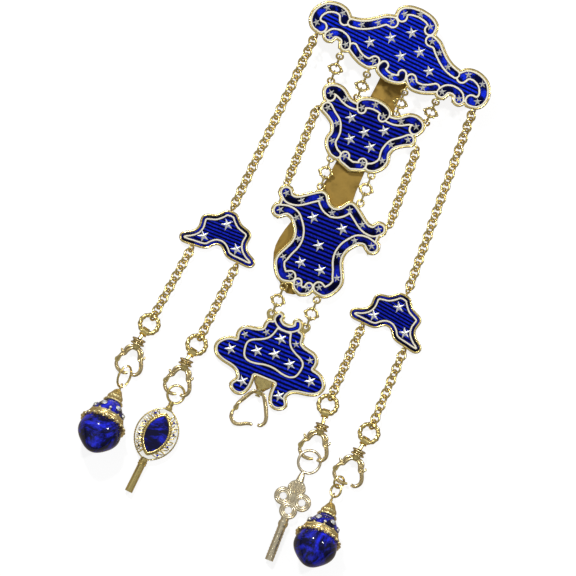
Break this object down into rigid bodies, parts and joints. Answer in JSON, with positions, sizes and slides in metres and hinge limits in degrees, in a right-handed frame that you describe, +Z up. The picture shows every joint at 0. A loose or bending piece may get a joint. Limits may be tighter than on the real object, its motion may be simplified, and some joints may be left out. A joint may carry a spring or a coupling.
{
  "type": "chatelaine",
  "caption": "Lying chatelaine with a belt hook, enamelled star plates joined by chains, sprung clips, acorn pendants and watch keys.",
  "frame": {"origin": "centre of the lying object's box, on the table under it", "axes": "+Y towards the belt hook, +Z up from the table, +X to the right when seen from above"},
  "size_m": [0.0926, 0.1813, 0.0154],
  "materials": {
    "gold": "polished",
    "hook": "satin",
    "blue_enamel": "gloss",
    "white_enamel": "gloss",
    "silver": "polished",
    "stone": "polished"
  },
  "bodies": {
    "chatelaine": {"belt_hook": "hook", "top_gold": "gold", "top_enamel": "blue_enamel", "top_lines": "white_enamel", "top_stars": "silver", "second_gold": "gold", "second_enamel": "blue_enamel", "second_lines": "white_enamel", "second_stars": "silver", "third_gold": "gold", "third_enamel": "blue_enamel", "third_lines": "white_enamel", "third_stars": "silver", "fourth_gold": "gold", "fourth_enamel": "blue_enamel", "fourth_lines": "white_enamel", "fourth_stars": "silver", "left_wing_gold": "gold", "left_wing_enamel": "blue_enamel", "left_wing_lines": "white_enamel", "left_wing_stars": "silver", "right_wing_gold": "gold", "right_wing_enamel": "blue_enamel", "right_wing_lines": "white_enamel", "right_wing_stars": "silver", "outer_chain_left": "gold", "outer_chain_right": "gold", "upper_chains": "gold", "middle_chain_left": "gold", "middle_chain_right": "gold", "inner_chains": "gold", "lower_chains": "gold", "drop_chain_1": "gold", "drop_chain_2": "gold", "drop_chain_3": "gold", "drop_chain_4": "gold", "clip_1": "gold", "clip_2": "gold", "clip_3": "gold", "clip_4": "gold", "centre_clip": "gold", "pendant_rings": "gold", "acorn_left_gold": "gold", "acorn_left_dome": "blue_enamel", "acorn_left_nut": "blue_enamel", "acorn_left_stones": "stone", "acorn_right_gold": "gold", "acorn_right_dome": "blue_enamel", "acorn_right_nut": "blue_enamel", "acorn_right_stones": "stone", "marquise_key_gold": "gold", "marquise_key_leaves": "white_enamel", "marquise_key_blue": "blue_enamel", "quatrefoil_key": "gold"},
    "gate_1": {"gate_1": "gold"},
    "gate_2": {"gate_2": "gold"},
    "gate_3": {"gate_3": "gold"},
    "gate_4": {"gate_4": "gold"},
    "centre_gate": {"centre_gate": "gold"}
  },
  "joints": [
    {"name": "gate_1_hinge", "type": "hinge", "parent": "chatelaine", "child": "gate_1", "pos_m": [-0.04265, -0.05007, 0.00177], "axis": [0, -0.0698, 0.9976], "range_deg": [0, 14], "stiffness_Nm_per_rad": 0.02},
    {"name": "gate_2_hinge", "type": "hinge", "parent": "chatelaine", "child": "gate_2", "pos_m": [-0.02578, -0.05041, 0.00177], "axis": [0.0024, -0.0697, 0.9976], "range_deg": [0, 14], "stiffness_Nm_per_rad": 0.02},
    {"name": "gate_3_hinge", "type": "hinge", "parent": "chatelaine", "child": "gate_3", "pos_m": [0.02199, -0.05279, 0.00177], "axis": [0.0037, -0.0697, 0.9976], "range_deg": [0, 14], "stiffness_Nm_per_rad": 0.02},
    {"name": "gate_4_hinge", "type": "hinge", "parent": "chatelaine", "child": "gate_4", "pos_m": [0.03514, -0.05541, 0.00177], "axis": [-0.0024, -0.0697, 0.9976], "range_deg": [0, 4.5], "stiffness_Nm_per_rad": 0.02},
    {"name": "centre_gate_hinge", "type": "hinge", "parent": "chatelaine", "child": "centre_gate", "pos_m": [-0.0017, -0.04978, 0.00124], "axis": [0, -0.0436, 0.999], "range_deg": [0, 14], "stiffness_Nm_per_rad": 0.02}
  ]
}
